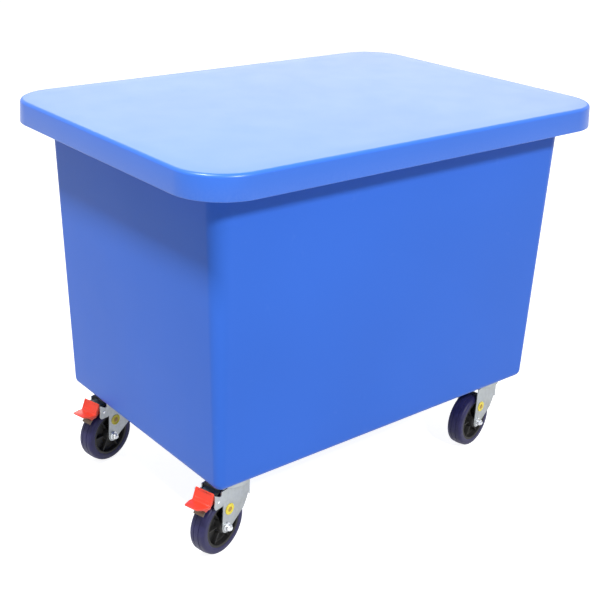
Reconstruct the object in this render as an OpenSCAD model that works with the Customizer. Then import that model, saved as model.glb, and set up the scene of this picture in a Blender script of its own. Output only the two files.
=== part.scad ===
// Wheeled plastic tub with a lift-off lid, on four swivel castors.
// Two of the castors, at the -X end, carry a foot brake.
// Frame: +Z up, origin on the floor below the middle of the lid.
// X runs along the tub, and the front face looks along -Y.

/* [Tub] */
// Length of the tub body at its rim
tub_l = 889; // [700:1:1200]
// Width of the tub body at its rim
tub_w = 602; // [480:1:900]
// Height of the tub body, from its base to its rim
tub_h = 634; // [300:1:800]
// Lean of each side wall, from base to rim
tub_draft = 18; // [6:1:30]
// Thickness of the tub walls
tub_wall = 6; // [4:0.5:9]
// Thickness of the tub floor
tub_floor = 8; // [6:0.5:14]
// Plan radius of the upright corners at the base
tub_corner_r = 18; // [16:1:60]
// Radius of the edge round the base
tub_base_r = 16; // [10:1:16]
// Width of the flange round the rim
rim_w = 52.5; // [30:0.5:70]
// Depth of the turned-down edge of the rim
rim_h = 30; // [15:1:34]
// Thickness of the rim flange and its turned-down edge
rim_t = 6; // [4:0.5:9]

/* [Lid] */
// Thickness of the lid's top panel
lid_top = 6; // [4:0.5:10]
// Thickness of the lid's skirt
lid_wall = 4.5; // [3:0.5:8]
// Overall depth of the lid, from its top down to the skirt's edge
lid_h = 46; // [42:1:80]
// Lean of the skirt, from its top to its lower edge
lid_draft = 2.5; // [0:0.5:6]
// Radius of the edge round the lid's top
lid_edge_r = 7; // [3:0.5:9]
// Gap between the rim and the inside of the skirt
lid_gap = 3.5; // [2:0.5:8]

/* [Castor] */
// Distance from each castor's kingpin to the ends of the base
castor_inset_x = 70.5; // [60:0.5:120]
// Distance from each castor's kingpin to the sides of the base
castor_inset_y = 66; // [60:0.5:120]
// Wheel diameter
wheel_d = 125; // [100:1:126]
// Width of the tyre's tread
tyre_w = 36; // [30:1:38]
// Radial thickness of the tyre
tyre_t = 15.5; // [8:0.5:20]
// Length of the wheel's hub
hub_l = 44; // [42:0.5:60]
// Height from the floor to the top of the castor's head
castor_h = 163; // [157:1:180]
// Distance the axle trails behind the kingpin
trail = 36; // [36:1:44]
// Thickness of the fork's pressed steel
fork_t = 3; // [2:0.5:4]
// Radius of the swivel head
head_r = 40; // [38:0.5:42]
// Thickness of the round spacer pad over each castor
pad_t = 4; // [4:1:20]
// Thickness of the swivel head's pressed cap
cap_t = 3.5; // [3:0.5:5]
// Kingpin diameter
kingpin_d = 12; // [10:0.5:14]
// Axle bolt diameter
axle_bolt_d = 8; // [8:0.5:10]
// Outside diameter of the sleeve that the wheel turns on
sleeve_d = 12; // [12:0.5:14]
// Headings of the castors about their kingpins, left front, left rear, right front, right rear
heading = [15, 13, 11, 8]; // [-180:1:180]

/* [Brake] */
// Width of the pedal
pedal_w = 45; // [40:1:50]
// Diameter of the pin that the pedal turns on
pivot_d = 6; // [5:0.5:7]
// Gap between the released brake shoe and the tyre
shoe_gap = 6; // [4:0.5:7]

/* [Hidden] */
$fn = 64;
CORNERS = ["left_front", "left_rear", "right_front", "right_rear"];
SIDE_X = [-1, -1, 1, 1];
SIDE_Y = [-1, 1, -1, 1];
BRAKED = [0, 1];
CASTOR_NODES = ["spacer_pad", "swivel_cap", "kingpin", "swivel_balls", "fork", "fork_badges",
                "axle_bolt", "axle_sleeve", "wheel_bearing", "wheel_centre", "tyre"];
BRAKE_NODES = ["brake_pedal", "brake_lever", "brake_pin", "brake_shoe", "brake_spring"];

// Clearances
run_fit = 0.05;     // radial, between a shaft and what turns on it
pin_fit = 0.1;      // radial, between a fastener and the hole it passes through
bolt_fit = 0.5;     // radial, between the kingpins and the holes in the pads and the tub
seat_gap = 0.3;     // between pieces that turn past each other

// Levels above the floor
base_z = castor_h + pad_t;
rim_z = base_z + tub_h;
lid_z = rim_z + lid_top;
cap_z = castor_h - cap_t;
race_t = 4.5;
race_z = cap_z - race_t;
ball_space = 3;
crown_z = race_z - ball_space;
crown_t = 4;
leg_top_z = crown_z - crown_t;
wheel_r = wheel_d / 2;

// Tub and lid plan
base_l = tub_l - 2 * tub_draft;
base_w = tub_w - 2 * tub_draft;
rim_out = tub_corner_r + tub_draft + rim_w;
lid_r = rim_out + lid_gap + lid_wall;
kingpin_x = base_l / 2 - castor_inset_x;
kingpin_y = base_w / 2 - castor_inset_y;

// Swivel head
race_r = 33;
race_in_r = 14;
cap_skirt_t = 2.5;
cap_skirt_h = 5;
rim_fit = 1;
head_rim_t = 2;
crown_r = head_r + rim_fit + head_rim_t;
head_rim_z = cap_z + 1.5;
ball_r = 3;
ball_ring_r = 24;
ball_count = 16;
ball_z = race_z - ball_space / 2;

// Fork legs, in the plane across the axle
leg_in = hub_l / 2 + 1;
leg_out = leg_in + fork_t;
boss_r = 13;
leg_back = -43;
leg_front = 33;
leg_bend = [25, 98];
shoulder = [15, 82];
web_h = 32;
ear_l = 28;
ear_h = 33;
ear_round = 6;
ear_slope = [14, 8];
ear_tab_l = 2;
ear_notch_l = 5;

// Brake
pivot = [-60, 130];
pedal_boss_r = 6.5;
spring_space = 4;
tongue_w = 2 * (leg_in - spring_space);
lever_w = 32;
shoe_t = 2.5;
shoe_w = 24;
shoe_from = 116;
shoe_to = 141;
shoe_seat_to = 123;
shoe_r = wheel_r + shoe_gap;
spring_wire = 1.3;

blue = [0.20, 0.36, 0.80];
lid_blue = [0.32, 0.48, 0.88];
zinc = [0.74, 0.77, 0.76];
dark_rubber = [0.13, 0.13, 0.24];
black = [0.04, 0.04, 0.04];
red = [0.90, 0.17, 0.10];
yellow = [0.93, 0.80, 0.10];
brass = [0.75, 0.62, 0.35];

// ---- Shared shapes ----

// Carries a 2D outline round a rounded rectangle. The outline's x is measured outward from the
// centre of each corner, and its y is the height.
module swept(l, w, r) {
    straight_l = l - 2 * r;
    straight_w = w - 2 * r;
    for (q = [0:3])
        translate([(q == 0 || q == 3 ? 1 : -1) * straight_l / 2, (q < 2 ? 1 : -1) * straight_w / 2, 0])
            rotate([0, 0, 90 * q]) rotate_extrude(angle = 90) children();
    for (turn = [0, 180]) {
        rotate([0, 0, turn]) translate([straight_l / 2, straight_w / 2, 0])
            rotate([90, 0, 0]) linear_extrude(straight_w) children();
        rotate([0, 0, turn + 90]) translate([straight_w / 2, straight_l / 2, 0])
            rotate([90, 0, 0]) linear_extrude(straight_l) children();
    }
}

function arc(centre, r, from, to, steps = 6) =
    [for (i = [0:steps]) let (a = from + (to - from) * i / steps) centre + r * [cos(a), sin(a)]];

module tube(r_out, r_in, h) {
    difference() {
        cylinder(r = r_out, h = h);
        translate([0, 0, -1]) cylinder(r = r_in, h = h + 2);
    }
}

// Stands a shape drawn along +Z on the wheel's axis, pointing to the near side (-Y)
module on_axle() {
    translate([-trail, 0, wheel_r]) rotate([90, 0, 0]) children();
}

// Extrudes an outline drawn in the castor's X and Z across it, from y = -w/2 to w/2
module across(w) {
    translate([0, w / 2, 0]) rotate([90, 0, 0]) linear_extrude(w) children();
}

module at_castor(i) {
    translate([SIDE_X[i] * kingpin_x, SIDE_Y[i] * kingpin_y, 0]) rotate([0, 0, heading[i]]) children();
}

module hex(across_flats, h) {
    linear_extrude(h) circle(r = across_flats / 2 / cos(30), $fn = 6);
}

// ---- Tub and lid ----

module tub() {
    wall_at_top = tub_corner_r + tub_draft;
    outer = concat([[0, base_z]],
                   arc([tub_corner_r - tub_base_r, base_z + tub_base_r], tub_base_r, -90, 0),
                   [[wall_at_top, rim_z - rim_t], [rim_out - rim_t, rim_z - rim_t],
                    [rim_out - rim_t, rim_z - rim_h], [rim_out, rim_z - rim_h], [rim_out, rim_z]]);
    inner_r = tub_base_r - tub_wall;
    inner = concat([[wall_at_top - tub_wall, rim_z]],
                   arc([tub_corner_r - tub_base_r, base_z + tub_floor + inner_r], inner_r, 0, -90),
                   [[0, base_z + tub_floor]]);
    color(blue) difference() {
        union() {
            swept(base_l, base_w, tub_corner_r) polygon(concat(outer, inner));
            translate([-base_l / 2 + tub_corner_r, -base_w / 2 + tub_corner_r, base_z])
                cube([base_l - 2 * tub_corner_r, base_w - 2 * tub_corner_r, tub_floor]);
        }
        for (i = [0:3]) at_castor(i) translate([0, 0, base_z - 1])
            cylinder(r = kingpin_d / 2 + bolt_fit, h = tub_floor + 2);
    }
}

module lid() {
    skirt_z = lid_z - lid_h;
    section = concat([[0, rim_z], [lid_r - lid_wall, rim_z], [lid_r - lid_wall + lid_draft, skirt_z],
                      [lid_r + lid_draft, skirt_z]],
                     arc([lid_r - lid_edge_r, lid_z - lid_edge_r], lid_edge_r, 0, 90),
                     [[0, lid_z]]);
    lid_l = tub_l + 2 * (rim_w + lid_gap + lid_wall);
    lid_w = tub_w + 2 * (rim_w + lid_gap + lid_wall);
    color(lid_blue) {
        swept(lid_l, lid_w, lid_r) polygon(section);
        translate([-lid_l / 2 + lid_r, -lid_w / 2 + lid_r, rim_z])
            cube([lid_l - 2 * lid_r, lid_w - 2 * lid_r, lid_top]);
    }
}

// ---- Castor mounting and swivel head ----

module spacer_pad() {
    color(black) translate([0, 0, castor_h]) tube(head_r, kingpin_d / 2 + bolt_fit, pad_t);
}

// Fixed upper half of the swivel head: a pressed cap with the upper ball race in it
module swivel_cap() {
    color(zinc) difference() {
        union() {
            translate([0, 0, cap_z]) cylinder(r = head_r, h = cap_t);
            translate([0, 0, cap_z - cap_skirt_h]) tube(head_r, head_r - cap_skirt_t, cap_skirt_h + 1);
            translate([0, 0, race_z]) tube(race_r, race_in_r, race_t + 1);
        }
        translate([0, 0, cap_z - 1]) cylinder(r = kingpin_d / 2 + pin_fit, h = cap_t + 2);
        ball_groove();
    }
}

washer_r = 24;
washer_t = 3;
kingpin_af = 19;
kingpin_nut_h = 10;
thread_end = 3;
nut_z = base_z + tub_floor + washer_t;

// Wide washers that spread the kingpins' load over the tub floor
module kingpin_washers() {
    color(zinc) for (i = [0:3]) at_castor(i) translate([0, 0, base_z + tub_floor])
        tube(washer_r, kingpin_d / 2 + pin_fit, washer_t);
}

module kingpin_nuts() {
    color(zinc) for (i = [0:3]) at_castor(i) translate([0, 0, nut_z]) difference() {
        hex(kingpin_af, kingpin_nut_h);
        translate([0, 0, -1]) cylinder(r = kingpin_d / 2 + pin_fit, h = kingpin_nut_h + 2);
    }
}

// Groove that both ball races share
module ball_groove() {
    groove_fit = 0.15;
    rotate_extrude() translate([ball_ring_r, ball_z]) circle(r = ball_r + groove_fit);
}

module swivel_balls() {
    color(zinc) for (i = [0:ball_count - 1]) rotate([0, 0, i * 360 / ball_count])
        translate([ball_ring_r, 0, ball_z]) sphere(r = ball_r);
}

// Bolt from under the fork's crown, up through the cap, the pad and the tub floor
module kingpin() {
    flange_r = 11;
    flange_h = 8;
    foot_z = leg_top_z - seat_gap;
    color(zinc) {
        translate([0, 0, foot_z]) cylinder(d = kingpin_d, h = nut_z + kingpin_nut_h + thread_end - foot_z);
        translate([0, 0, foot_z - flange_h]) cylinder(r = flange_r, h = flange_h);
    }
}

// ---- Fork ----

// Ear round the brake's pin: its top slopes down from the far end to a notch beside the leg
module ear_outline() {
    back = leg_back - ear_l;
    foot = leg_top_z - ear_h;
    slope_end = [back + ear_slope.x, leg_top_z - ear_slope.y];
    translate([back + ear_round, foot + ear_round]) circle(r = ear_round);
    translate([back, foot + ear_round]) square([ear_l, slope_end.y - foot - ear_round]);
    translate([back + ear_round, foot]) square([ear_l - ear_round, slope_end.y - foot]);
    polygon([[back, slope_end.y - 1], [back, leg_top_z], [back + ear_tab_l, leg_top_z],
             slope_end, slope_end - [0, 1]]);
    translate([slope_end.x + ear_notch_l, foot])
        square([leg_back - slope_end.x - ear_notch_l + 1, ear_h]);
}

module leg_outline(braked) {
    axle = [-trail, wheel_r];
    difference() {
        union() {
            translate(axle) circle(r = boss_r);
            polygon([axle - [boss_r, 0], [leg_back - 2, leg_top_z - ear_h], [leg_back, leg_top_z],
                     [leg_front, leg_top_z], [leg_front, leg_top_z - web_h + 8], leg_bend, shoulder,
                     axle + boss_r * [cos(-50), sin(-50)]]);
            if (braked) ear_outline();
        }
        translate(axle) circle(r = axle_bolt_d / 2 + pin_fit);
        if (braked) translate(pivot) circle(d = pivot_d);
    }
}

module fork(braked) {
    color(zinc) difference() {
        union() {
            for (side = [-1, 1]) translate([0, side * (leg_in + leg_out) / 2, 0])
                across(fork_t) leg_outline(braked);
            translate([0, 0, leg_top_z]) cylinder(r = crown_r, h = crown_t);
            // rim that stands up round the swivel cap
            translate([0, 0, leg_top_z]) tube(crown_r, crown_r - head_rim_t, head_rim_z - leg_top_z);
            // curved web that joins the legs in front of the wheel
            intersection() {
                translate([0, 0, leg_top_z - web_h]) tube(crown_r, crown_r - fork_t, web_h);
                translate([leg_front - 3, -leg_out, leg_top_z - web_h])
                    cube([crown_r, 2 * leg_out, web_h]);
            }
        }
        translate([0, 0, leg_top_z - 1]) cylinder(r = kingpin_d / 2 + run_fit, h = crown_t + 2);
        ball_groove();
    }
}

badge_r = 12;
badge_t = 1.5;
badge_at = [-28, 99];

// Round badges, one pressed on the outside of each leg
module fork_badges() {
    color(yellow) for (side = [-1, 1])
        translate([badge_at.x, side * (leg_out + badge_t / 2), badge_at.y]) rotate([90, 0, 0])
            cylinder(r = badge_r, h = badge_t, center = true);
}

// ---- Wheel and axle ----

axle_af = 13;
axle_head_h = 5.3;
axle_nut_h = 8;
axle_washer_t = 1.5;
axle_washer_r = 9;

// Axle bolt with its two washers and its nut
module axle_bolt() {
    reach = leg_out + axle_washer_t;
    end = reach + axle_nut_h + 2.5;
    color(zinc) on_axle() {
        translate([0, 0, -reach]) cylinder(d = axle_bolt_d, h = reach + end);
        translate([0, 0, -reach - axle_head_h]) hex(axle_af, axle_head_h);
        for (z = [-reach, leg_out]) translate([0, 0, z])
            tube(axle_washer_r, axle_bolt_d / 2 + pin_fit, axle_washer_t);
        translate([0, 0, reach]) difference() {
            hex(axle_af, axle_nut_h);
            translate([0, 0, -1]) cylinder(r = axle_bolt_d / 2 + pin_fit, h = axle_nut_h + 2);
        }
    }
}

module axle_sleeve() {
    color(zinc) on_axle() translate([0, 0, -leg_in])
        tube(sleeve_d / 2, axle_bolt_d / 2 + pin_fit, 2 * leg_in);
}

bearing_r = 9.5;

module wheel_bearing() {
    color("white") on_axle() translate([0, 0, -hub_l / 2])
        tube(bearing_r, sleeve_d / 2 + run_fit, hub_l);
}

// Wheel centre: hub, thin web with ribs, and a rim
module wheel_centre() {
    rim_r = wheel_r - tyre_t;
    rim_wall = 5;
    hub_r = 15;
    web_t = 8;
    rib_t = 3;
    rib_w = tyre_w - 10;
    color(black) on_axle() difference() {
        union() {
            translate([0, 0, -hub_l / 2]) cylinder(r = hub_r, h = hub_l);
            translate([0, 0, -tyre_w / 2 + 1]) tube(rim_r, rim_r - rim_wall, tyre_w - 2);
            translate([0, 0, -web_t / 2]) cylinder(r = rim_r - 1, h = web_t);
            for (a = [0:60:300]) rotate([0, 0, a]) translate([hub_r - 2, -rib_t / 2, -rib_w / 2])
                cube([rim_r - rim_wall - hub_r + 4, rib_t, rib_w]);
        }
        translate([0, 0, -hub_l / 2 - 1]) cylinder(r = bearing_r, h = hub_l + 2);
    }
}

module tyre() {
    inner = wheel_r - tyre_t;
    edge = 7;
    half = tyre_w / 2;
    tread_drop = 0.8;
    color(dark_rubber) on_axle() rotate_extrude($fn = 96)
        polygon(concat([[inner, -half + 1], [inner + 1.5, -half]],
                       arc([wheel_r - edge - tread_drop, -half + edge], edge, -90, -10),
                       [[wheel_r, -4], [wheel_r, 4]],
                       arc([wheel_r - edge - tread_drop, half - edge], edge, 10, 90),
                       [[inner + 1.5, half], [inner, half - 1]]));
}

// ---- Brake ----

pedal_top = [-71, 153];
pedal_crease = [-82, 130];
pedal_lip = [-112, 136];
tongue_top = pedal_top + [1, -8];

// Pedal: a sloped pad with a toe lip, on a tongue that turns on the pin
module brake_pedal() {
    lip_t = 4;
    pad_back = [4, -8];
    chamfer = 8;
    recess = [12, pedal_w - 14, 1.2];
    top = pedal_top;
    crease = pedal_crease;
    lip = pedal_lip;
    slope = atan2(top.y - crease.y, top.x - crease.x);
    axle = [-trail, wheel_r];
    seat_r = shoe_r + shoe_t;
    color(red) difference() {
        union() {
            intersection() {
                across(pedal_w) polygon([top, crease, lip, lip - [0, lip_t], crease - [-1, lip_t + 3],
                                         top + [1.5, -12], top + pad_back]);
                // the toe lip narrows towards its edge
                linear_extrude(2 * castor_h) polygon([[0, -pedal_w / 2], [crease.x - 6, -pedal_w / 2],
                    [lip.x, -pedal_w / 2 + chamfer], [lip.x, pedal_w / 2 - chamfer],
                    [crease.x - 6, pedal_w / 2], [0, pedal_w / 2]]);
            }
            across(tongue_w) difference() {
                union() {
                    polygon([tongue_top, crease + [2, -3], lip + [8, -lip_t + 0.5], lip + [16, -14],
                             pivot + [-6, -4], pivot - [0, pedal_boss_r], pivot + [4, 5],
                             pivot + [0, pedal_boss_r]]);
                    // seat that reaches down to the back of the shoe
                    polygon([axle + seat_r * [cos(shoe_from), sin(shoe_from)],
                             axle + seat_r * [cos(shoe_seat_to), sin(shoe_seat_to)],
                             pivot + [-17, 0], pivot + [-4, 1]]);
                }
                translate(axle) circle(r = seat_r, $fn = 128);
            }
            across(tongue_w) translate(pivot) circle(r = pedal_boss_r);
        }
        across(2 * leg_out) translate(pivot) circle(r = pivot_d / 2 + run_fit);
        // shallow recess in the sloped pad
        translate([(top.x + crease.x) / 2, 0, (top.y + crease.y) / 2]) rotate([0, -slope, 0])
            translate([-recess.x / 2, -recess.y / 2, -recess.z]) cube([recess.x, recess.y, 5]);
    }
}

// Dark steel lever on top of the pedal's tongue, reaching in towards the swivel head
module brake_lever() {
    inner_x = -crown_r - 3;
    outer_x = pedal_top.x + 5;
    top_z = pivot.y + 15;
    seat_z = pivot.y + pedal_boss_r;
    seat_slope = (tongue_top.y - seat_z) / (pivot.x - tongue_top.x);
    color(black) across(lever_w)
        polygon([[pivot.x, seat_z], [pivot.x + 5, seat_z], [inner_x, top_z - 6], [inner_x, top_z],
                 [outer_x, top_z], [outer_x, seat_z + (pivot.x - outer_x) * seat_slope]]);
}

module brake_pin() {
    pin_end = 1;
    color(zinc) across(2 * (leg_out + pin_end)) translate(pivot) circle(d = pivot_d);
}

// Curved steel shoe under the pedal's tongue
module brake_shoe() {
    color(brass) translate([-trail, shoe_w / 2, wheel_r]) rotate([90, 0, 0])
        rotate([0, 0, shoe_from]) rotate_extrude(angle = shoe_to - shoe_from, $fn = 128)
            translate([shoe_r, 0]) square([shoe_t, shoe_w]);
}

// Torsion spring beside the tongue, on the pin
module brake_spring() {
    coil_r = pivot_d / 2 + spring_wire / 2 + 0.2;
    turns = 3;
    step = spring_wire * 0.9;
    start = (tongue_w + spring_wire) / 2 + 0.1;
    color(zinc) translate([pivot.x, start, pivot.y]) rotate([-90, 0, 0])
        for (i = [0:turns - 1]) translate([0, 0, i * step])
            rotate_extrude() translate([coil_r, 0]) circle(d = spring_wire, $fn = 24);
}

// ---- Assembly ----

tub();
lid();
kingpin_washers();
kingpin_nuts();
for (i = [0:3]) {
    at_castor(i) spacer_pad();
    at_castor(i) swivel_cap();
    at_castor(i) kingpin();
    at_castor(i) swivel_balls();
    at_castor(i) fork(i < len(BRAKED));
    at_castor(i) fork_badges();
    at_castor(i) axle_bolt();
    at_castor(i) axle_sleeve();
    at_castor(i) wheel_bearing();
    at_castor(i) wheel_centre();
    at_castor(i) tyre();
}
for (i = BRAKED) {
    at_castor(i) brake_pedal();
    at_castor(i) brake_lever();
    at_castor(i) brake_pin();
    at_castor(i) brake_shoe();
    at_castor(i) brake_spring();
}
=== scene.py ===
"""Looks of a wheeled plastic tub with a lift-off lid, on four swivel castors."""

import math

import bmesh
import bpy
from mathutils import Matrix, Vector


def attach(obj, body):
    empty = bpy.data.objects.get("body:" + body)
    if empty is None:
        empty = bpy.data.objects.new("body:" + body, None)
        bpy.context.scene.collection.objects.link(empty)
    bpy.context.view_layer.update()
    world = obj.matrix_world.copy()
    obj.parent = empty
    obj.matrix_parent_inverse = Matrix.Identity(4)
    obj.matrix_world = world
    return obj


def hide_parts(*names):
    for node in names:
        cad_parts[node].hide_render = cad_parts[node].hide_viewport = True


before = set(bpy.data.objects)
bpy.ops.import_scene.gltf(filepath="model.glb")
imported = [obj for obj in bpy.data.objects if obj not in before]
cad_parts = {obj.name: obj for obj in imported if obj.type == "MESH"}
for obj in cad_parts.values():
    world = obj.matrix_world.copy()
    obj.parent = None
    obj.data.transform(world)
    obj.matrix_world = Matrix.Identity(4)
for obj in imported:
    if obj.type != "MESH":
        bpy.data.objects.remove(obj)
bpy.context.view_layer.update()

CORNERS = ("left_front", "left_rear", "right_front", "right_rear")
BRAKED = CORNERS[:2]
KINGPIN = {"left_front": (-0.356, -0.217), "left_rear": (-0.356, 0.217),
           "right_front": (0.356, -0.217), "right_rear": (0.356, 0.217)}
HEADING = {"left_front": 15, "left_rear": 13, "right_front": 11, "right_rear": 8}
AXLE = Vector((-0.036, 0, 0.0625))     # wheel centre, from the kingpin
PIVOT = Vector((-0.060, 0, 0.130))     # pedal pin, from the kingpin
WHEEL_R = 0.06249                      # a hair inside the CAD tyre
LEG_OUT = 0.026                        # outside of a fork leg, from the wheel's middle


# ---- Camera, light and floor ----

def add_camera():
    yaw, pitch, roll = math.radians(39.34), math.radians(22.95), math.radians(1.84)
    ahead = Vector((math.sin(yaw) * math.cos(pitch), math.cos(yaw) * math.cos(pitch), -math.sin(pitch)))
    right = Vector((math.cos(yaw), -math.sin(yaw), 0))
    up = right.cross(ahead)
    turned_right = math.cos(roll) * right + math.sin(roll) * up
    turned_up = math.cos(roll) * up - math.sin(roll) * right
    data = bpy.data.cameras.new("camera")
    data.lens, data.sensor_width = 66.25, 36
    camera = bpy.data.objects.new("camera", data)
    bpy.context.scene.collection.objects.link(camera)
    camera.matrix_world = Matrix.Translation((-1.4271, -1.7255, 1.3078)) @ Matrix(
        (turned_right, turned_up, -ahead)).transposed().to_4x4()
    bpy.context.scene.camera = camera


def add_softbox(name, place, target, size, watts):
    bpy.ops.object.light_add(type="AREA", location=place)
    lamp = bpy.context.object
    lamp.name = name
    lamp.data.size, lamp.data.energy = size, watts
    lamp.rotation_euler = (Vector(target) - Vector(place)).to_track_quat("-Z", "Y").to_euler()
    return lamp


def light_studio():
    bpy.context.scene.view_settings.view_transform = "Standard"
    add_softbox("left_lamp", (-1.95, -0.1, 4.25), (-0.3, 0, 0.6), 0.5, 172)
    add_softbox("front_softbox", (-0.35, -3.4, 3.05), (0, 0, 0.5), 0.45, 125)
    add_softbox("back_softbox", (2.6, 3.2, 2.5), (0, 0, 0.8), 3.8, 60)
    world = bpy.data.worlds.new("studio")
    bpy.context.scene.world = world
    world.use_nodes = True
    nodes, links = world.node_tree.nodes, world.node_tree.links
    background = nodes["Background"]
    background.inputs["Color"].default_value = (1, 1, 1, 1)
    rays = nodes.new("ShaderNodeLightPath")
    seen = nodes.new("ShaderNodeMath")
    seen.operation = "MAXIMUM"
    links.new(rays.outputs["Is Camera Ray"], seen.inputs[0])
    links.new(rays.outputs["Is Glossy Ray"], seen.inputs[1])
    seen_through = nodes.new("ShaderNodeMath")
    seen_through.operation = "MAXIMUM"
    links.new(seen.outputs[0], seen_through.inputs[0])
    links.new(rays.outputs["Is Transmission Ray"], seen_through.inputs[1])
    strength = nodes.new("ShaderNodeMapRange")
    strength.inputs["To Min"].default_value = 0.27
    strength.inputs["To Max"].default_value = 1.0
    links.new(seen_through.outputs[0], strength.inputs["Value"])
    links.new(strength.outputs["Result"], background.inputs["Strength"])


def add_floor():
    bpy.ops.mesh.primitive_plane_add(size=14)
    floor = bpy.context.object
    floor.name = "floor"
    material = bpy.data.materials.new("white_floor")
    material.use_nodes = True
    nodes, links = material.node_tree.nodes, material.node_tree.links
    paint = nodes["Principled BSDF"]
    paint.inputs["Base Color"].default_value = (0.5, 0.5, 0.5, 1)
    paint.inputs["Roughness"].default_value = 0.9
    paint.inputs["Specular IOR Level"].default_value = 0.1
    paint.inputs["Emission Color"].default_value = (1, 1, 1, 1)
    rays = nodes.new("ShaderNodeLightPath")
    seen = nodes.new("ShaderNodeMath")
    seen.operation = "MAXIMUM"
    links.new(rays.outputs["Is Camera Ray"], seen.inputs[0])
    links.new(rays.outputs["Is Glossy Ray"], seen.inputs[1])
    glow = nodes.new("ShaderNodeMath")
    glow.operation = "MULTIPLY"
    glow.inputs[1].default_value = 0.90
    links.new(seen.outputs[0], glow.inputs[0])
    links.new(glow.outputs[0], paint.inputs["Emission Strength"])
    floor.data.materials.append(material)


# ---- Modelling helpers ----

def deselect():
    if bpy.context.object and bpy.context.object.mode != "OBJECT":
        bpy.ops.object.mode_set(mode="OBJECT")
    bpy.ops.object.select_all(action="DESELECT")


def hold(piece):
    """Selects one piece alone and makes it the active one."""
    deselect()
    piece.select_set(True)
    bpy.context.view_layer.objects.active = piece


def open_mesh(piece):
    hold(piece)
    bpy.ops.object.mode_set(mode="EDIT")


def pick(kind, wanted):
    """Selects the faces, edges or vertices of the open mesh for which wanted() is true."""
    bpy.ops.mesh.select_mode(type=kind)
    bpy.ops.mesh.select_all(action="DESELECT")
    mesh = bpy.context.object.data
    shape = bmesh.from_edit_mesh(mesh)
    for item in {"FACE": shape.faces, "EDGE": shape.edges, "VERT": shape.verts}[kind]:
        if wanted(item):
            item.select_set(True)
    shape.select_flush_mode()
    bmesh.update_edit_mesh(mesh)


def middle(item):
    if hasattr(item, "calc_center_median"):
        return item.calc_center_median()
    return sum((v.co for v in item.verts), Vector()) / len(item.verts)


def apply_modifier(piece, kind, **settings):
    hold(piece)
    modifier = piece.modifiers.new(kind.lower(), kind)
    for key, value in settings.items():
        setattr(modifier, key, value)
    bpy.ops.object.modifier_apply(modifier=modifier.name)


def soften(piece, width, segments=3, angle=30):
    apply_modifier(piece, "BEVEL", width=width, segments=segments, limit_method="ANGLE",
                   angle_limit=math.radians(angle), harden_normals=False)


def settle(piece):
    """Moves a piece's place into its mesh, so that its object sits at the origin."""
    hold(piece)
    bpy.ops.object.transform_apply(location=True, rotation=True, scale=True)


def recalculate(piece):
    open_mesh(piece)
    bpy.ops.mesh.select_all(action="SELECT")
    bpy.ops.mesh.remove_doubles(threshold=0.00001)
    bpy.ops.mesh.normals_make_consistent(inside=False)
    bpy.ops.object.mode_set(mode="OBJECT")


def smooth(piece, angle=35):
    hold(piece)
    bpy.ops.object.shade_smooth_by_angle(angle=math.radians(angle))


def rounded_sheet(name, length, width, radius, z, segments, facing_down=False):
    """A flat rounded rectangle, open in edit mode with its face selected."""
    deselect()
    bpy.ops.mesh.primitive_plane_add(size=1, location=(0, 0, z))
    piece = bpy.context.object
    piece.name = name
    open_mesh(piece)
    bpy.ops.transform.resize(value=(length, width, 1))
    bpy.ops.mesh.bevel(offset=radius, offset_type="OFFSET", segments=segments, affect="VERTICES")
    bpy.ops.mesh.select_all(action="SELECT")
    if facing_down:
        bpy.ops.mesh.flip_normals()
    bpy.ops.mesh.select_mode(type="FACE")
    bpy.ops.mesh.select_all(action="SELECT")
    return piece


def step_in(inward, ahead):
    bpy.ops.mesh.inset(thickness=inward, depth=ahead, use_even_offset=True)


def draw_outline(name, points, y):
    """Draws a closed outline of (x, z) points by extruding one vertex along it, and fills it."""
    deselect()
    bpy.ops.mesh.primitive_plane_add(size=0.001)
    piece = bpy.context.object
    piece.name = name
    open_mesh(piece)
    bpy.ops.mesh.merge(type="CENTER")
    bpy.ops.mesh.select_mode(type="VERT")
    bpy.ops.mesh.select_all(action="SELECT")
    here = Vector((points[0][0], y, points[0][1]))
    bpy.ops.transform.translate(value=here)
    for x, z in points[1:]:
        there = Vector((x, y, z))
        bpy.ops.mesh.extrude_vertices_move(TRANSFORM_OT_translate={"value": there - here})
        here = there
    bpy.ops.mesh.select_all(action="SELECT")
    bpy.ops.mesh.edge_face_add()
    return piece


def plate(name, points, width, y=0.0):
    """An outline in the castor's X and Z, extruded across it to a width centred on y."""
    piece = draw_outline(name, points, y - width / 2)
    bpy.ops.mesh.select_mode(type="FACE")
    bpy.ops.mesh.select_all(action="SELECT")
    bpy.ops.mesh.extrude_region_move(TRANSFORM_OT_translate={"value": (0, width, 0)})
    recalculate(piece)
    return piece


def arc(centre, radius, start, end, steps):
    """Points (x, z) along an arc, angles in degrees from +X towards +Z."""
    return [(centre[0] + radius * math.cos(math.radians(start + (end - start) * i / steps)),
             centre[1] + radius * math.sin(math.radians(start + (end - start) * i / steps)))
            for i in range(steps + 1)]


def turned(name, profile, steps):
    """Spins a profile of (radius, along) points round the axle line, and closes it."""
    deselect()
    bpy.ops.mesh.primitive_plane_add(size=0.001)
    piece = bpy.context.object
    piece.name = name
    open_mesh(piece)
    bpy.ops.mesh.merge(type="CENTER")
    bpy.ops.mesh.select_mode(type="VERT")
    bpy.ops.mesh.select_all(action="SELECT")
    here = AXLE + Vector((0, profile[0][1], profile[0][0]))
    bpy.ops.transform.translate(value=here)
    for radius, along in profile[1:]:
        there = AXLE + Vector((0, along, radius))
        bpy.ops.mesh.extrude_vertices_move(TRANSFORM_OT_translate={"value": there - here})
        here = there
    bpy.ops.mesh.select_all(action="SELECT")
    bpy.ops.mesh.spin(steps=steps, angle=2 * math.pi, center=AXLE, axis=(0, 1, 0), dupli=False)
    recalculate(piece)
    return piece


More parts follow.
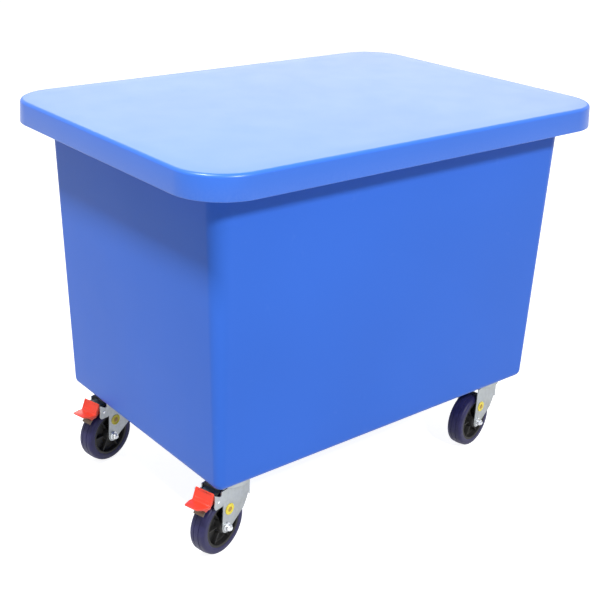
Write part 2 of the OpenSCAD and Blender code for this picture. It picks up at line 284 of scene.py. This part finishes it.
def join(name, *pieces):
    hold(pieces[0])
    for piece in pieces:
        piece.select_set(True)
    bpy.ops.object.join()
    pieces[0].name = name
    return pieces[0]


def fit_piece(piece, body, slot, material, *nodes):
    if piece.data.materials:
        piece.data.materials.clear()
    piece.data.materials.append(material)
    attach(piece, body)
    if nodes:
        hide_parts(*nodes)


def fit_to_castors(model, stem, body, slot, material, node, corners=CORNERS):
    """Copies a piece modelled at a kingpin on the origin to each castor, turned to its heading."""
    settle(model)
    for corner in corners:
        copy = bpy.data.objects.new(f"{stem}_{corner}", model.data.copy())
        bpy.context.scene.collection.objects.link(copy)
        x, y = KINGPIN[corner]
        copy.data.transform(Matrix.Translation((x, y, 0)) @ Matrix.Rotation(
            math.radians(HEADING[corner]), 4, "Z"))
        names = [f"{n}_{corner}" for n in ([node] if isinstance(node, str) else node)]
        fit_piece(copy, f"{body}_{corner}" if body != "tub" else "tub", slot, material, *names)
    deselect()
    bpy.data.objects.remove(model)


# ---- Materials ----

def group(name, inputs, outputs):
    """A shader node group with float inputs {name: value} and outputs {name: socket type}."""
    tree = bpy.data.node_groups.new(name, "ShaderNodeTree")
    for key, value in inputs.items():
        socket = tree.interface.new_socket(key, in_out="INPUT", socket_type="NodeSocketFloat")
        socket.default_value = value
    for key, kind in outputs.items():
        tree.interface.new_socket(key, in_out="OUTPUT", socket_type=kind)
    return tree, tree.nodes.new("NodeGroupInput"), tree.nodes.new("NodeGroupOutput")


def noise(tree, scale, detail=3.0, stretch=(1, 1, 1)):
    place = tree.nodes.new("ShaderNodeTexCoord")
    fit = tree.nodes.new("ShaderNodeMapping")
    fit.inputs["Scale"].default_value = stretch
    texture = tree.nodes.new("ShaderNodeTexNoise")
    texture.inputs["Scale"].default_value = scale
    texture.inputs["Detail"].default_value = detail
    tree.links.new(place.outputs["Object"], fit.inputs["Vector"])
    tree.links.new(fit.outputs["Vector"], texture.inputs["Vector"])
    return texture


def remap(tree, value, low, high, to_low, to_high):
    fit = tree.nodes.new("ShaderNodeMapRange")
    for key, number in (("From Min", low), ("From Max", high), ("To Min", to_low), ("To Max", to_high)):
        fit.inputs[key].default_value = number
    tree.links.new(value, fit.inputs["Value"])
    return fit.outputs["Result"]


def math_node(tree, operation, first, second):
    node = tree.nodes.new("ShaderNodeMath")
    node.operation = operation
    for socket, value in zip(node.inputs, (first, second)):
        if isinstance(value, (int, float)):
            socket.default_value = value
        else:
            tree.links.new(value, socket)
    return node.outputs[0]


def blend_colours(tree, mask, below, above):
    mix = tree.nodes.new("ShaderNodeMix")
    mix.data_type = "RGBA"
    tree.links.new(mask, mix.inputs["Factor"])
    for socket, value in ((mix.inputs[6], below), (mix.inputs[7], above)):
        if isinstance(value, tuple):
            socket.default_value = (*value, 1)
        else:
            tree.links.new(value, socket)
    return mix.outputs[2]


def make_orange_peel():
    """Fine and broad surface unevenness of moulded plastic."""
    tree, given, out = group("orange_peel", {"Grain": 900.0, "Waviness": 4.0}, {"Height": "NodeSocketFloat",
                                                                            "Cloud": "NodeSocketFloat"})
    fine = noise(tree, 900, 2.0)
    tree.links.new(given.outputs["Grain"], fine.inputs["Scale"])
    broad = noise(tree, 4, 1.0)
    tree.links.new(given.outputs["Waviness"], broad.inputs["Scale"])
    low = math_node(tree, "MULTIPLY", fine.outputs["Fac"], 0.00006)
    high = math_node(tree, "MULTIPLY", broad.outputs["Fac"], 0.0003)
    tree.links.new(math_node(tree, "ADD", low, high), out.inputs["Height"])
    tree.links.new(broad.outputs["Fac"], out.inputs["Cloud"])
    return tree


def make_worn_edges():
    """Mask of the raised edges of a piece, broken up by a noise."""
    tree, given, out = group("worn_edges", {"Start": 0.52, "End": 0.58}, {"Mask": "NodeSocketFloat"})
    shape = tree.nodes.new("ShaderNodeNewGeometry")
    fit = tree.nodes.new("ShaderNodeMapRange")
    tree.links.new(shape.outputs["Pointiness"], fit.inputs["Value"])
    tree.links.new(given.outputs["Start"], fit.inputs["From Min"])
    tree.links.new(given.outputs["End"], fit.inputs["From Max"])
    broken = remap(tree, noise(tree, 240, 4.0).outputs["Fac"], 0.35, 0.6, 0.0, 1.0)
    tree.links.new(math_node(tree, "MULTIPLY", fit.outputs["Result"], broken), out.inputs["Mask"])
    return tree


def make_dust():
    """Mask of road dust that thins out with height."""
    tree, given, out = group("dust", {"Top": 0.16}, {"Mask": "NodeSocketFloat"})
    place = tree.nodes.new("ShaderNodeTexCoord")
    split = tree.nodes.new("ShaderNodeSeparateXYZ")
    tree.links.new(place.outputs["Object"], split.inputs[0])
    fall = tree.nodes.new("ShaderNodeMapRange")
    tree.links.new(split.outputs["Z"], fall.inputs["Value"])
    tree.links.new(given.outputs["Top"], fall.inputs["From Max"])
    fall.inputs["To Min"].default_value, fall.inputs["To Max"].default_value = 1, 0
    patch = remap(tree, noise(tree, 45, 5.0).outputs["Fac"], 0.42, 0.7, 0.0, 1.0)
    tree.links.new(math_node(tree, "MULTIPLY", fall.outputs["Result"], patch), out.inputs["Mask"])
    return tree


ORANGE_PEEL = make_orange_peel()
WORN_EDGES = make_worn_edges()
DUST = make_dust()


def new_material(name, colour, roughness, metallic=0.0, specular=0.5):
    material = bpy.data.materials.new(name)
    material.use_nodes = True
    tree = material.node_tree
    paint = tree.nodes["Principled BSDF"]
    paint.inputs["Base Color"].default_value = (*colour, 1)
    paint.inputs["Roughness"].default_value = roughness
    paint.inputs["Metallic"].default_value = metallic
    paint.inputs["Specular IOR Level"].default_value = specular
    return material, tree, paint


def use_group(tree, made, **values):
    node = tree.nodes.new("ShaderNodeGroup")
    node.node_tree = made
    for key, value in values.items():
        node.inputs[key].default_value = value
    return node


def bump(tree, paint, height, distance=1.0, strength=1.0):
    node = tree.nodes.new("ShaderNodeBump")
    node.inputs["Distance"].default_value = distance
    node.inputs["Strength"].default_value = strength
    tree.links.new(height, node.inputs["Height"])
    tree.links.new(node.outputs["Normal"], paint.inputs["Normal"])


def blue_polyethylene(name, colour, pale, roughness, specular):
    """Satin moulded plastic: cloudy colour, orange peel, pale rubbed edges and faint scuffs."""
    material, tree, paint = new_material(name, colour, roughness, specular=specular)
    skin = use_group(tree, ORANGE_PEEL, Grain=700.0, Waviness=3.2)
    clouds = remap(tree, skin.outputs["Cloud"], 0.3, 0.7, 0.0, 1.0)
    darker = tuple(c * 0.95 for c in colour)
    base = blend_colours(tree, clouds, darker, colour)
    rub = use_group(tree, WORN_EDGES, Start=0.515, End=0.60)
    rubbed = math_node(tree, "MULTIPLY", rub.outputs["Mask"], 0.35)
    base = blend_colours(tree, rubbed, base, pale)
    scuff = remap(tree, noise(tree, 38, 6.0).outputs["Fac"], 0.66, 0.80, 0.0, 0.05)
    base = blend_colours(tree, scuff, base, pale)
    tree.links.new(base, paint.inputs["Base Color"])
    rough = remap(tree, noise(tree, 14, 2.0).outputs["Fac"], 0.3, 0.7, roughness - 0.01, roughness + 0.015)
    tree.links.new(math_node(tree, "ADD", rough, scuff), paint.inputs["Roughness"])
    bump(tree, paint, skin.outputs["Height"], strength=0.5)
    return material


def zinc_plated(name, colour, roughness):
    """Bright zinc on pressed steel: crystalline mottling, faint streaks, dulled low down."""
    material, tree, paint = new_material(name, colour, roughness, metallic=0.85)
    mottle = remap(tree, noise(tree, 130, 5.0).outputs["Fac"], 0.3, 0.7, 0.0, 1.0)
    base = blend_colours(tree, mottle, tuple(c * 0.86 for c in colour), colour)
    tint = remap(tree, noise(tree, 28, 2.0).outputs["Fac"], 0.45, 0.7, 0.0, 0.35)
    base = blend_colours(tree, tint, base, (colour[0] * 0.94, colour[1] * 0.96, colour[2] * 1.06))
    dirt = use_group(tree, DUST, Top=0.17)
    dull = math_node(tree, "MULTIPLY", dirt.outputs["Mask"], 0.25)
    base = blend_colours(tree, dull, base, (0.20, 0.19, 0.17))
    tree.links.new(base, paint.inputs["Base Color"])
    streak = remap(tree, noise(tree, 420, 3.0, (1, 1, 0.15)).outputs["Fac"], 0.3, 0.7,
                   roughness - 0.06, roughness + 0.1)
    tree.links.new(math_node(tree, "ADD", streak, dull), paint.inputs["Roughness"])
    bump(tree, paint, noise(tree, 300, 3.0).outputs["Fac"], distance=0.00015, strength=0.5)
    return material


def blue_black_rubber():
    material, tree, paint = new_material("blue_black_rubber", (0.018, 0.017, 0.078), 0.55, specular=0.3)
    dirt = use_group(tree, DUST, Top=0.14)
    worn = math_node(tree, "MULTIPLY", dirt.outputs["Mask"], 0.12)
    mottle = remap(tree, noise(tree, 90, 4.0).outputs["Fac"], 0.3, 0.7, 0.0, 1.0)
    base = blend_colours(tree, mottle, (0.015, 0.014, 0.066), (0.023, 0.021, 0.090))
    base = blend_colours(tree, worn, base, (0.13, 0.12, 0.15))
    tree.links.new(base, paint.inputs["Base Color"])
    tree.links.new(remap(tree, mottle, 0, 1, 0.42, 0.56), paint.inputs["Roughness"])
    bump(tree, paint, noise(tree, 800, 3.0).outputs["Fac"], distance=0.0001, strength=0.6)
    return material


def plain_moulding(name, colour, pale, roughness, wear=0.5):
    """Moulded plastic or painted metal: fine grain, mottled colour and rubbed edges."""
    material, tree, paint = new_material(name, colour, roughness)
    skin = use_group(tree, ORANGE_PEEL, Grain=1400.0, Waviness=30.0)
    base = blend_colours(tree, remap(tree, skin.outputs["Cloud"], 0.3, 0.7, 0.0, 1.0),
                         tuple(c * 0.86 for c in colour), colour)
    rub = use_group(tree, WORN_EDGES, Start=0.52, End=0.62)
    base = blend_colours(tree, math_node(tree, "MULTIPLY", rub.outputs["Mask"], wear), base, pale)
    dirt = use_group(tree, DUST, Top=0.16)
    grime = math_node(tree, "MULTIPLY", dirt.outputs["Mask"], 0.12)
    base = blend_colours(tree, grime, base, (0.2, 0.18, 0.16))
    tree.links.new(base, paint.inputs["Base Color"])
    tree.links.new(remap(tree, skin.outputs["Cloud"], 0.3, 0.7, roughness - 0.05, roughness + 0.06),
                   paint.inputs["Roughness"])
    bump(tree, paint, noise(tree, 1100, 2.0).outputs["Fac"], distance=0.00005, strength=0.5)
    return material


def badge_yellow():
    """Yellow disc with a darker, golden middle."""
    material, tree, paint = new_material("badge_yellow", (0.90, 0.74, 0.02), 0.3)
    mottle = remap(tree, noise(tree, 220, 3.0).outputs["Fac"], 0.3, 0.7, 0.0, 1.0)
    base = blend_colours(tree, mottle, (0.84, 0.66, 0.015), (0.94, 0.80, 0.03))
    tree.links.new(base, paint.inputs["Base Color"])
    tree.links.new(remap(tree, mottle, 0, 1, 0.25, 0.36), paint.inputs["Roughness"])
    bump(tree, paint, noise(tree, 900, 2.0).outputs["Fac"], distance=0.00004, strength=0.5)
    return material


TUB_BLUE = blue_polyethylene("tub_blue", (0.038, 0.155, 0.69), (0.26, 0.41, 0.86), 0.40, 0.15)
LID_BLUE = blue_polyethylene("lid_blue", (0.030, 0.155, 0.69), (0.34, 0.46, 0.88), 0.33, 0.5)
ZINC = zinc_plated("bright_zinc", (0.40, 0.425, 0.43), 0.36)
BOLT_ZINC = zinc_plated("bolt_zinc", (0.82, 0.84, 0.85), 0.20)
POLISHED_STEEL = zinc_plated("polished_steel", (0.55, 0.55, 0.56), 0.16)
TYRE_RUBBER = blue_black_rubber()
PAD_RUBBER = plain_moulding("pad_rubber", (0.022, 0.026, 0.027), (0.10, 0.10, 0.10), 0.6, 0.3)
WHEEL_BLACK = plain_moulding("wheel_black", (0.0045, 0.0045, 0.005), (0.02, 0.02, 0.02), 0.66, 0.2)
NYLON = plain_moulding("natural_nylon", (0.70, 0.69, 0.64), (0.8, 0.8, 0.76), 0.4, 0.2)
PEDAL_RED = plain_moulding("pedal_red", (0.80, 0.050, 0.022), (0.90, 0.22, 0.13), 0.32, 0.4)
# Painted shade: the lever's dark grey-green base is partly the shade under the tub, painted into the colour
# of the dark steel.
LEVER_DARK_AND_SHADE = plain_moulding("lever_dark_and_painted_shade", (0.045, 0.068, 0.066), (0.30, 0.31, 0.31), 0.45, 0.6)
SHOE_GOLD = zinc_plated("passivated_gold", (0.20, 0.16, 0.12), 0.45)
BADGE_YELLOW = badge_yellow()
BADGE_GOLD = plain_moulding("badge_gold", (0.50, 0.27, 0.02), (0.8, 0.6, 0.1), 0.35, 0.3)


# ---- Tub and lid ----

def make_tub():
    """Moulded in one sheet: the underside of the rim, the tapered walls and the rounded base, then
    given its wall thickness inwards."""
    tub = rounded_sheet("tub_shell", 0.982, 0.695, 0.0825, 0.771, 20, facing_down=True)
    step_in(0.0, -0.024)
    step_in(0.0465, 0.0)
    for _ in range(9):
        step_in(0.002, 0.068)
    fillet = [(0.016 * (1 - math.cos(math.radians(a))), 0.016 * math.sin(math.radians(a)))
              for a in range(0, 91, 10)]
    for (x0, z0), (x1, z1) in zip(fillet, fillet[1:]):
        step_in(x1 - x0, z1 - z0)
    bpy.ops.object.mode_set(mode="OBJECT")
    soften(tub, 0.003, 3, 40)
    apply_modifier(tub, "SOLIDIFY", thickness=0.006, offset=-1, use_even_offset=True)
    soften(tub, 0.0015, 2, 50)
    open_mesh(tub)
    pick("VERT", lambda v: v.co.z < 0.176 and v.co.z > 0.1725)
    bpy.ops.transform.translate(value=(0, 0, 0.002))
    settle(tub)
    smooth(tub, 40)
    fit_piece(tub, "tub", "tub_plastic", TUB_BLUE, "tub")


def make_lid():
    lid = rounded_sheet("lid_shell", 1.015, 0.728, 0.099, 0.761, 24)
    step_in(0.0025, 0.039)
    turn = [(0.007 * (1 - math.cos(math.radians(a))), 0.007 * math.sin(math.radians(a)))
            for a in range(0, 91, 9)]
    for (x0, z0), (x1, z1) in zip(turn, turn[1:]):
        step_in(x1 - x0, z1 - z0)
    step_in(0.040, 0.0)
    step_in(0.045, -0.0003)
    bpy.ops.object.mode_set(mode="OBJECT")
    apply_modifier(lid, "SOLIDIFY", thickness=0.0055, offset=-1, use_even_offset=True)
    soften(lid, 0.0015, 3, 60)
    settle(lid)
    smooth(lid, 40)
    fit_piece(lid, "lid", "lid_plastic", LID_BLUE, "lid")


# ---- Wheels ----

def make_tyres():
    """Rubber tyre with a flat tread between two fine grooves and rounded shoulders."""
    half, edge, drop = 0.018, 0.007, 0.0008
    inner = WHEEL_R - 0.0155
    shoulder = WHEEL_R - edge - drop
    left = [(inner, -half + 0.001), (inner + 0.0015, -half), (inner + 0.004, -half + 0.0001)]
    left += [(shoulder + edge * math.sin(math.radians(a)), -half + edge - edge * math.cos(math.radians(a)))
             for a in (0, 12, 25, 38, 50, 62, 72, 80)]
    groove = [(WHEEL_R - 0.0003, -0.0068), (WHEEL_R - 0.0012, -0.0062), (WHEEL_R - 0.0012, -0.0054),
              (WHEEL_R - 0.0001, -0.0048), (WHEEL_R, -0.002)]
    profile = left + groove
    profile += [(r, -a) for r, a in reversed(profile)]
    tyre = turned("tyre_model", profile + [profile[0]], 96)
    smooth(tyre, 50)
    fit_to_castors(tyre, "tread", "wheel", "tyre_rubber", TYRE_RUBBER, "tyre")


def make_wheel_centres():
    """Black centre: dished web with six ribs between the hub and the rim."""
    rim, hub = 0.047, 0.015
    bore = 0.0095
    profile = [(bore, -0.022), (hub - 0.0012, -0.022), (hub, -0.0208), (hub + 0.0008, -0.0052),
               (hub + 0.003, -0.004), (rim - 0.0075, -0.004), (rim - 0.0055, -0.0055),
               (rim - 0.005, -0.0160), (rim - 0.004, -0.017), (rim, -0.017)]
    profile += [(r, -a) for r, a in reversed(profile)]
    centre = turned("centre_model", profile + [profile[0]], 72)
    ribs = []
    for turn in range(0, 360, 60):
        deselect()
        bpy.ops.mesh.primitive_cube_add(size=1, location=AXLE + Vector((0.0285, 0, 0)))
        rib = bpy.context.object
        rib.scale = (0.030, 0.026, 0.003)
        settle(rib)
        soften(rib, 0.0007, 2)
        open_mesh(rib)
        bpy.ops.mesh.select_all(action="SELECT")
        bpy.ops.transform.rotate(value=math.radians(turn), orient_axis="Y", center_override=AXLE)
        bpy.ops.object.mode_set(mode="OBJECT")
        ribs.append(rib)
    centre = join("centre_model", centre, *ribs)
    smooth(centre, 35)
    fit_to_castors(centre, "wheel_body", "wheel", "wheel_black", WHEEL_BLACK, "wheel_centre")


def make_axles():
    """Axle bolt with a domed nut, a hexagon head and two chamfered washers."""
    def hexagon(name, y0, y1, across, chamfer):
        deselect()
        bpy.ops.mesh.primitive_cylinder_add(vertices=6, radius=across / 2 / math.cos(math.pi / 6),
                                            depth=abs(y1 - y0), location=AXLE + Vector((0, (y0 + y1) / 2, 0)),
                                            rotation=(math.pi / 2, 0, 0))
        piece = bpy.context.object
        piece.name = name
        settle(piece)
        soften(piece, chamfer, 2, 50)
        return piece

    washers = []
    for side in (-1, 1):
        y = side * LEG_OUT
        washers.append(turned("washer", [(0.0041, y), (0.0088, y), (0.009, y + side * 0.0003),
                                         (0.009, y + side * 0.0012), (0.0086, y + side * 0.0015),
                                         (0.0041, y + side * 0.0015), (0.0041, y)], 40))
    nut = hexagon("nut", -0.0275, -0.0340, 0.013, 0.0006)
    collar = turned("collar", [(0.0, -0.0330), (0.0055, -0.0338), (0.0058, -0.0345), (0.0053, -0.0355),
                               (0.0042, -0.0362), (0.004, -0.0376), (0.0034, -0.0380), (0.0, -0.0380)], 32)
    head = hexagon("head", 0.0275, 0.0328, 0.013, 0.0006)
    shank = turned("shank", [(0.0, -0.0335), (0.004, -0.0335), (0.004, 0.0325), (0.0, 0.0325)], 24)
    axle = join("axle_model", nut, collar, head, shank, *washers)
    smooth(axle, 30)
    fit_to_castors(axle, "axle", "castor", "zinc_plate", BOLT_ZINC, "axle_bolt")


# ---- Forks and badges ----

def make_badges():
    """Round pressed badge: a raised rolled border and a slightly domed face."""
    def disc(side):
        y = side * LEG_OUT
        profile = [(0.0, y), (0.0118, y), (0.012, y + side * 0.0006), (0.0116, y + side * 0.0013),
                   (0.0108, y + side * 0.0015), (0.0098, y + side * 0.0012), (0.0090, y + side * 0.0010),
                   (0.0052, y + side * 0.0013), (0.0, y + side * 0.0014)]
        return turned("disc", profile, 48)

    def stud(side):
        y = side * LEG_OUT
        profile = [(0.0, y + side * 0.0012), (0.0052, y + side * 0.0012), (0.0055, y + side * 0.0015),
                   (0.0044, y + side * 0.00195), (0.0020, y + side * 0.0021), (0.0, y + side * 0.0021)]
        return turned("stud", profile, 32)

    at_badge = Matrix.Translation(Vector((-0.028, 0, 0.099)) - AXLE)
    badge = join("badge_model", disc(-1), disc(1))
    badge.data.transform(at_badge)
    smooth(badge, 40)
    fit_to_castors(badge, "badge", "castor", "badge_yellow", BADGE_YELLOW, "fork_badges")
    middle_stud = join("stud_model", stud(-1), stud(1))
    middle_stud.data.transform(at_badge)
    smooth(middle_stud, 40)
    fit_to_castors(middle_stud, "badge_stud", "castor", "badge_yellow", BADGE_GOLD, ())


def make_pads():
    """Round rubber pad between the tub floor and the swivel cap."""
    deselect()
    bpy.ops.mesh.primitive_cylinder_add(vertices=72, radius=0.040, depth=0.004, location=(0, 0, 0.165))
    pad = bpy.context.object
    settle(pad)
    soften(pad, 0.0010, 3)
    smooth(pad, 35)
    fit_to_castors(pad, "pad", "tub", "pad_rubber", PAD_RUBBER, "spacer_pad")


def upright(name, profile, steps):
    """Spins a profile of (radius, height) points round the kingpin's axis."""
    deselect()
    bpy.ops.mesh.primitive_plane_add(size=0.001)
    piece = bpy.context.object
    piece.name = name
    open_mesh(piece)
    bpy.ops.mesh.merge(type="CENTER")
    bpy.ops.mesh.select_mode(type="VERT")
    bpy.ops.mesh.select_all(action="SELECT")
    here = Vector((profile[0][0], 0, profile[0][1]))
    bpy.ops.transform.translate(value=here)
    for radius, height in profile[1:]:
        there = Vector((radius, 0, height))
        bpy.ops.mesh.extrude_vertices_move(TRANSFORM_OT_translate={"value": there - here})
        here = there
    bpy.ops.mesh.select_all(action="SELECT")
    bpy.ops.mesh.spin(steps=steps, angle=2 * math.pi, center=(0, 0, 0), axis=(0, 0, 1), dupli=False)
    recalculate(piece)
    return piece


def make_swivel_caps():
    """Pressed cap with a rolled edge, a raised ring over the balls and a turned-down skirt."""
    profile = [(0.0062, 0.163), (0.016, 0.163), (0.0375, 0.163), (0.0392, 0.1623), (0.040, 0.1608),
               (0.040, 0.1550), (0.0395, 0.1545), (0.0378, 0.1545), (0.0375, 0.1550), (0.0375, 0.1590),
               (0.0330, 0.1590), (0.0330, 0.1555), (0.0325, 0.1550), (0.0275, 0.1550), (0.0264, 0.1562),
               (0.024, 0.1572), (0.0216, 0.1562), (0.0205, 0.1550), (0.0145, 0.1550), (0.0140, 0.1555),
               (0.0140, 0.1595), (0.0062, 0.1595), (0.0062, 0.163)]
    cap = upright("cap_model", profile, 72)
    smooth(cap, 40)
    fit_to_castors(cap, "cap", "tub", "zinc_plate", ZINC, "swivel_cap")


def make_fork(braked):
    """Pressed fork: a dished crown with a rim standing round the swivel cap, two legs with softened
    edges, and a curved web that joins them in front of the wheel."""
    leg_top, front, back = 0.1482, 0.033, -0.043
    axle = (AXLE.x, AXLE.z)
    foot = arc(axle, 0.013, -32, -180, 18)
    outline = [(front, leg_top), (0.0328, 0.126), (0.0305, 0.112), (0.0250, 0.098), (0.0150, 0.082)]
    outline += foot + [(back - 0.003, 0.1165)]
    if braked:
        outline += [(back - 0.004, 0.115)] + arc((back - 0.022, 0.121), 0.006, -90, -180, 5)
        outline += [(back - 0.028, 0.1465), (back - 0.0272, 0.1478), (back - 0.0260, 0.1479)]
        outline += [(back - 0.0140, 0.1400), (back - 0.0095, 0.1400), (back - 0.0090, 0.1405)]
        outline += [(back - 0.0088, leg_top)]
    else:
        outline += [(back - 0.001, 0.1400), (back, leg_top)]
    legs = []
    for side in (-1, 1):
        leg = plate("leg", outline, 0.003, side * 0.0245)
        soften(leg, 0.0009, 3, 30)
        legs.append(leg)
    crown = upright("crown", [(0.0061, 0.1482), (0.0061, 0.1520), (0.0205, 0.1520), (0.0216, 0.1508),
                              (0.024, 0.1498), (0.0264, 0.1508), (0.0275, 0.1520), (0.0400, 0.1520),
                              (0.0410, 0.1530), (0.0410, 0.1600), (0.0414, 0.1608), (0.0420, 0.1610),
                              (0.0427, 0.1607), (0.0430, 0.1598), (0.0430, 0.1500), (0.0424, 0.1486),
                              (0.0410, 0.1480), (0.0061, 0.1480), (0.0061, 0.1482)], 96)
    web = make_web()
    fork = join("fork_model", crown, web, *legs)
    smooth(fork, 35)
    corners = BRAKED if braked else CORNERS[2:]
    fit_to_castors(fork, "fork_pressing", "castor", "zinc_plate", ZINC, "fork", corners)


def make_web():
    """Curved web between the legs: part of a wide tube, its lower edge arched over the wheel."""
    deselect()
    bpy.ops.mesh.primitive_cylinder_add(vertices=96, radius=0.0430, depth=0.040, end_fill_type="NOTHING",
                                        location=(0, 0, 0.130))
    web = bpy.context.object
    web.name = "web"
    settle(web)
    open_mesh(web)
    pick("FACE", lambda f: middle(f).x < 0.0335)
    bpy.ops.mesh.delete(type="FACE")
    bpy.ops.mesh.select_all(action="SELECT")
    bpy.ops.mesh.subdivide(number_cuts=5)
    mesh = web.data
    shape = bmesh.from_edit_mesh(mesh)
    for v in shape.verts:
        across = abs(v.co.y) / 0.0265
        bottom = 0.1285 - 0.026 * across ** 2.2
        share = (0.150 - v.co.z) / 0.040
        v.co.z = 0.150 - share * (0.150 - bottom)
    bmesh.update_edit_mesh(mesh)
    bpy.ops.object.mode_set(mode="OBJECT")
    apply_modifier(web, "SOLIDIFY", thickness=0.0028, offset=-1, use_even_offset=True)
    soften(web, 0.0008, 2, 50)
    return web


def bore_through(piece, radius):
    """Cuts the hole that the pedal's pin passes through."""
    deselect()
    bpy.ops.mesh.primitive_cylinder_add(vertices=48, radius=radius, depth=0.060, location=PIVOT,
                                        rotation=(math.pi / 2, 0, 0))
    cutter = bpy.context.object
    settle(cutter)
    apply_modifier(piece, "BOOLEAN", operation="DIFFERENCE", object=cutter, solver="EXACT")
    bpy.data.objects.remove(cutter)


def make_pedals():
    """Pedal: a steep pad with a shallow recess, a concave crease and a thin upturned toe lip, on the
    tongue that turns on the pin."""
    pad = [(-0.071, 0.153), (-0.0765, 0.1420), (-0.0806, 0.1325), (-0.0820, 0.1303), (-0.0838, 0.1300),
           (-0.094, 0.1318), (-0.1115, 0.1358), (-0.1118, 0.1325), (-0.096, 0.1272), (-0.081, 0.1230),
           (-0.0695, 0.1410), (-0.067, 0.1450)]
    body = plate("pedal_pad", pad, 0.045)
    open_mesh(body)
    bpy.ops.mesh.select_all(action="SELECT")
    for side in (-1, 1):
        bpy.ops.mesh.select_all(action="SELECT")
        bpy.ops.mesh.bisect(plane_co=(-0.1118, side * 0.0150, 0.13), plane_no=(-0.34, side * 0.94, 0),
                            use_fill=True, clear_outer=True)
    bpy.ops.mesh.select_all(action="SELECT")
    bpy.ops.mesh.remove_doubles(threshold=0.00002)
    pick("FACE", lambda f: f.normal.x < -0.8 and f.normal.z > 0.2 and f.calc_area() > 0.0004)
    bpy.ops.mesh.inset(thickness=0.0034, depth=0.0, use_even_offset=True)
    bpy.ops.mesh.inset(thickness=0.0007, depth=-0.0017, use_even_offset=True)
    bpy.ops.object.mode_set(mode="OBJECT")
    soften(body, 0.0007, 3, 25)
    outline = [(-0.0700, 0.1450), (-0.0800, 0.1280), (-0.0950, 0.1265), (-0.0890, 0.1190),
               (-0.0785, 0.1218), (-0.0765, 0.1226), (-0.0705, 0.1262), (-0.0660, 0.1282)]
    outline += arc((PIVOT.x, PIVOT.z), 0.0064, -110, 90, 14)
    tongue = plate("tongue", outline, 0.038)
    soften(tongue, 0.0008, 2, 30)
    bore_through(tongue, 0.0031)
    pedal = join("pedal_model", body, tongue)
    smooth(pedal, 30)
    fit_to_castors(pedal, "pedal", "brake", "pedal_red", PEDAL_RED, "brake_pedal", BRAKED)


def make_levers():
    """Dark steel lever on the pedal's tongue, reaching in towards the swivel head; its dark grey-green is
    partly painted shade, the colour of the shade under the tub.
    """
    outline = [(-0.0600, 0.1365), (-0.0550, 0.1365), (-0.0462, 0.1395), (-0.0460, 0.1440),
               (-0.0468, 0.1450), (-0.0652, 0.1450), (-0.0660, 0.1442), (-0.0660, 0.1416)]
    lever = plate("lever", outline, 0.032)
    soften(lever, 0.0012, 3, 30)
    smooth(lever, 35)
    fit_to_castors(lever, "lever", "brake", "lever_black", LEVER_DARK_AND_SHADE, "brake_lever", BRAKED)


def make_brake_pins():
    """Riveted pin: a plain shank with a domed head at each end."""
    profile = [(0.0, -0.0270), (0.0012, -0.0269), (0.0022, -0.0266), (0.0029, -0.0262), (0.0030, -0.0258)]
    profile += [(r, -a) for r, a in reversed(profile)]
    pin = turned("pin_model", profile, 32)
    pin.data.transform(Matrix.Translation(PIVOT - AXLE))
    smooth(pin, 40)
    fit_to_castors(pin, "pin", "castor", "zinc_plate", BOLT_ZINC, "brake_pin", BRAKED)


# ---- Everything in its place ----

add_camera()
light_studio()
add_floor()

make_tub()
make_lid()
make_tyres()
make_wheel_centres()
make_axles()
make_badges()
make_pads()
make_swivel_caps()
make_fork(braked=True)
make_fork(braked=False)
make_pedals()
make_levers()
make_brake_pins()

CAD_FINISHES = {"swivel_cap": ZINC, "kingpin": BOLT_ZINC, "kingpin_washers": BOLT_ZINC,
                "kingpin_nuts": BOLT_ZINC,
                "spacer_pad": PAD_RUBBER, "swivel_balls": POLISHED_STEEL, "fork": ZINC,
                "axle_sleeve": BOLT_ZINC, "wheel_bearing": NYLON, "brake_pedal": PEDAL_RED,
                "brake_lever": LEVER_DARK_AND_SHADE, "brake_pin": BOLT_ZINC, "brake_shoe": SHOE_GOLD,
                "brake_spring": POLISHED_STEEL, "axle_bolt": BOLT_ZINC, "tyre": TYRE_RUBBER,
                "wheel_centre": WHEEL_BLACK, "fork_badges": BADGE_YELLOW, "tub": TUB_BLUE, "lid": LID_BLUE}
for name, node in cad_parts.items():
    stem = name
    for corner in CORNERS:
        stem = stem.removesuffix("_" + corner)
    node.data.materials.clear()
    node.data.materials.append(CAD_FINISHES[stem])
